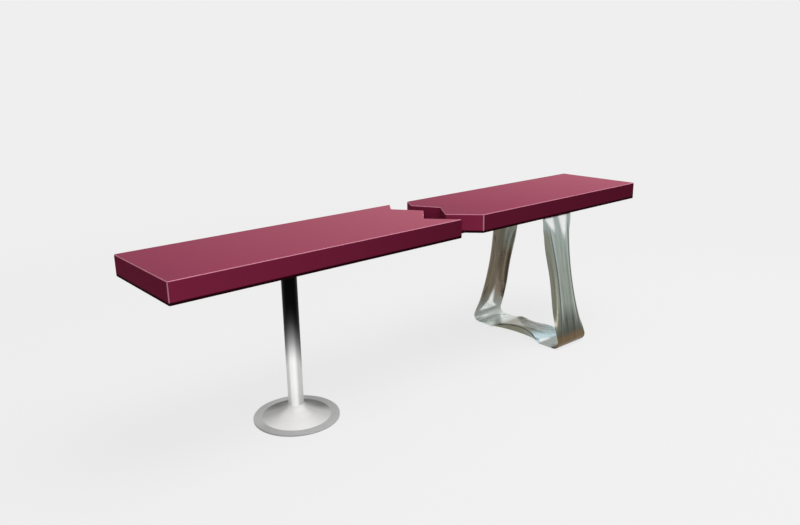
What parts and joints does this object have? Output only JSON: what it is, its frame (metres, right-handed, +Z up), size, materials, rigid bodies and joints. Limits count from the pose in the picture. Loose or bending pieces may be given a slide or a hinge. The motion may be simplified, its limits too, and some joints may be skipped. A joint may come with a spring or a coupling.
{
  "type": "locker room bench",
  "caption": "Locker room bench: burgundy plastic seat boards with stepped facing ends, on a round tube pedestal with bell flanges and a bent-strip trapezoid leg.",
  "frame": {"origin": "on the floor under the middle of the bench", "axes": "+X along the seat towards the trapezoid leg, +Y towards the back edge, +Z up"},
  "size_m": [1.572, 0.353, 0.457],
  "materials": {
    "seat_plastic": "solid burgundy plastic, satin face with eased, lightly polished edges",
    "flange_grey": "light grey satin paint over cast metal",
    "tube_steel": "bright steel tube, darkened towards the seat",
    "leg_aluminium": "bright pressed aluminium strip with drawn streaks",
    "rail_black": "black powder coat",
    "fixing_zinc": "bright zinc plate",
    "insert_brass": "plain turned brass"
  },
  "bodies": {
    "root": {"seat_board_left": "seat_plastic", "seat_board_right": "seat_plastic", "pedestal_floor_flange": "flange_grey", "pedestal_tube": "tube_steel", "pedestal_seat_flange": "flange_grey", "trapezoid_leg": "leg_aluminium", "splice_rail_front": "rail_black", "splice_rail_rear": "rail_black", "pedestal_bolts": "fixing_zinc", "pedestal_washers": "fixing_zinc", "pedestal_inserts": "insert_brass", "leg_bolts": "fixing_zinc", "leg_washers": "fixing_zinc", "leg_inserts": "insert_brass", "rail_bolts": "fixing_zinc", "rail_washers": "fixing_zinc", "rail_inserts": "insert_brass"}
  },
  "joints": []
}
